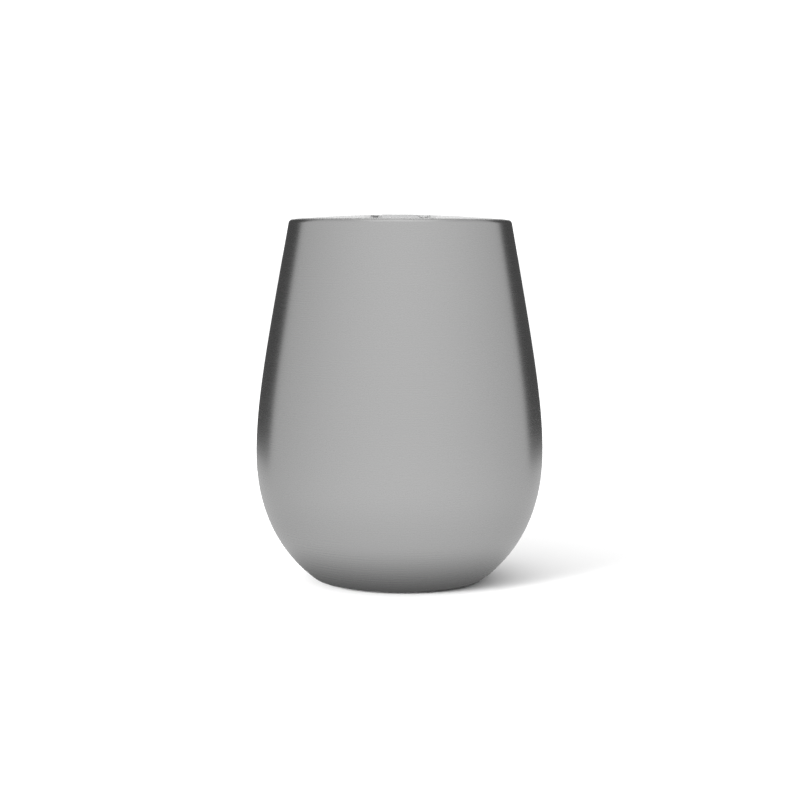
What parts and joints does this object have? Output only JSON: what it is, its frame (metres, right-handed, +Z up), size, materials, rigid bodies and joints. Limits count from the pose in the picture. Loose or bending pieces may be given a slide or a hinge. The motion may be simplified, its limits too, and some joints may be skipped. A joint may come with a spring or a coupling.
{
  "type": "wine tumbler",
  "caption": "Stemless insulated steel wine tumbler with an egg-shaped brushed body, a clear press-in lid with a slide closure and sip opening, and a non-slip foot.",
  "frame": {"origin": "on the table, under the middle of the base", "axes": "+Z up along the axis of the tumbler, -Y towards the lid's sip opening"},
  "size_m": [0.089, 0.089, 0.1132],
  "materials": {
    "brushed_steel": "satin, brushed round the axis",
    "polished_steel": "electropolished",
    "pressed_steel": "as pressed",
    "base_steel": "spun rings",
    "solder_glass": "dark glazed bead",
    "getter_metal": "sintered",
    "clear_plastic": "clear gloss",
    "slider_plastic": "clear gloss, fine-textured grip",
    "pale_silicone": "translucent matt",
    "dark_silicone": "matt"
  },
  "bodies": {
    "tumbler": {"outer_shell": "brushed_steel", "inner_liner": "polished_steel", "base_plate": "pressed_steel", "vacuum_seal": "solder_glass", "getter": "getter_metal", "getter_clip": "pressed_steel", "base_cover": "base_steel", "foot_pad": "dark_silicone"},
    "lid": {"lid_body": "clear_plastic", "lid_gasket": "pale_silicone"},
    "slider": {"lid_slider": "slider_plastic"}
  },
  "joints": [
    {"name": "lid_lift", "type": "slide", "parent": "tumbler", "child": "lid", "axis": [0, 0, 1], "range_m": [0, 0.08]},
    {"name": "slider_slide", "type": "slide", "parent": "lid", "child": "slider", "axis": [0, 1, 0], "range_m": [0, 0.0086]}
  ]
}
